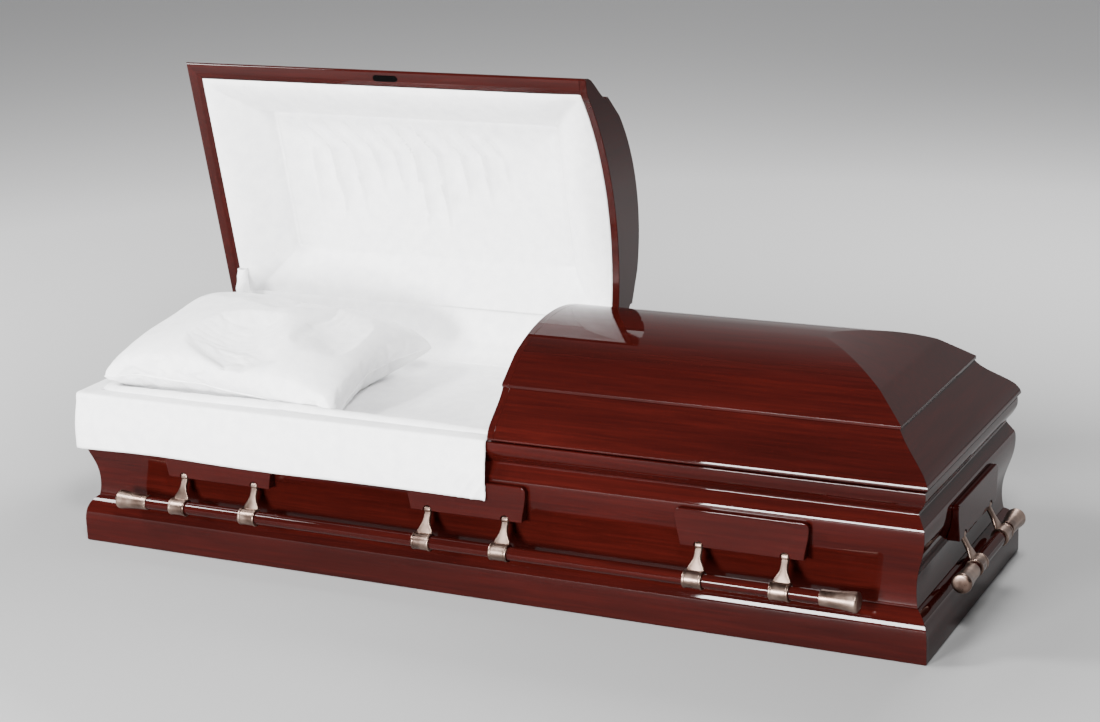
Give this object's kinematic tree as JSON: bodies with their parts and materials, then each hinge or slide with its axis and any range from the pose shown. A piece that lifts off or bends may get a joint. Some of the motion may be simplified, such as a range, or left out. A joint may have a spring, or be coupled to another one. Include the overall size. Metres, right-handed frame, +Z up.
{
  "type": "funeral casket",
  "caption": "Glossy hardwood casket with a divided, hinged domed lid, moulded sides, swing-bar handles on wooden ears, and a padded fabric interior with a pillow.",
  "frame": {"origin": "centre of the casket's footprint, on its underside", "axes": "+X runs lengthwise from the head end to the foot end, -Y faces the front and +Z is up"},
  "size_m": [2.239, 0.9098, 1.0875],
  "materials": {
    "cherry": "high-gloss dark cherry lacquer",
    "board": "sawn and sanded, unfinished",
    "nickel": "antique nickel, satin",
    "cloth": "soft white crepe"
  },
  "bodies": {
    "body": {"bottom_board": "board", "base_front": "cherry", "base_foot": "cherry", "base_back": "cherry", "base_head": "cherry", "panel_front": "cherry", "panel_foot": "cherry", "panel_back": "cherry", "panel_head": "cherry", "ear_front_1": "cherry", "ear_front_2": "cherry", "ear_front_3": "cherry", "ear_foot_1": "cherry", "ear_back_1": "cherry", "ear_back_2": "cherry", "ear_back_3": "cherry", "ear_head_1": "cherry", "bed_platform": "board", "mattress": "cloth", "apron": "cloth", "pillow": "cloth"},
    "head_lid": {"head_lid_rail_front": "cherry", "head_lid_rail_back": "cherry", "head_lid_rail_end": "cherry", "head_lid_crown": "cherry", "head_lid_header": "cherry", "head_lid_lining": "cloth"},
    "foot_lid": {"foot_lid_rail_front": "cherry", "foot_lid_rail_back": "cherry", "foot_lid_rail_end": "cherry", "foot_lid_crown": "cherry", "foot_lid_header": "cherry"},
    "front_handle": {"bar_front": "cherry", "arm_front_1": "nickel", "arm_front_2": "nickel", "arm_front_3": "nickel", "arm_front_4": "nickel", "arm_front_5": "nickel", "arm_front_6": "nickel", "tip_front_1": "nickel", "tip_front_2": "nickel"},
    "back_handle": {"bar_back": "cherry", "arm_back_1": "nickel", "arm_back_2": "nickel", "arm_back_3": "nickel", "arm_back_4": "nickel", "arm_back_5": "nickel", "arm_back_6": "nickel", "tip_back_1": "nickel", "tip_back_2": "nickel"},
    "head_handle": {"bar_head": "cherry", "arm_head_1": "nickel", "arm_head_2": "nickel", "tip_head_1": "nickel", "tip_head_2": "nickel"},
    "foot_handle": {"bar_foot": "cherry", "arm_foot_1": "nickel", "arm_foot_2": "nickel", "tip_foot_1": "nickel", "tip_foot_2": "nickel"}
  },
  "joints": [
    {"name": "head_lid_hinge", "type": "hinge", "parent": "body", "child": "head_lid", "pos_m": [0, 0.361, 0.384], "axis": [1, 0, 0], "range_deg": [0, 78.8]},
    {"name": "foot_lid_hinge", "type": "hinge", "parent": "body", "child": "foot_lid", "pos_m": [0, 0.361, 0.384], "axis": [-1, 0, 0], "range_deg": [0, 78.8]},
    {"name": "front_handle_swing", "type": "hinge", "parent": "body", "child": "front_handle", "pos_m": [0, -0.352, 0.2], "axis": [-1, 0, 0], "range_deg": [0, 62]},
    {"name": "back_handle_swing", "type": "hinge", "parent": "body", "child": "back_handle", "pos_m": [0, 0.352, 0.2], "axis": [1, 0, 0], "range_deg": [0, 62]},
    {"name": "head_handle_swing", "type": "hinge", "parent": "body", "child": "head_handle", "pos_m": [-1.061, 0, 0.2], "axis": [0, 1, 0], "range_deg": [0, 62]},
    {"name": "foot_handle_swing", "type": "hinge", "parent": "body", "child": "foot_handle", "pos_m": [1.061, 0, 0.2], "axis": [0, -1, 0], "range_deg": [0, 62]}
  ]
}
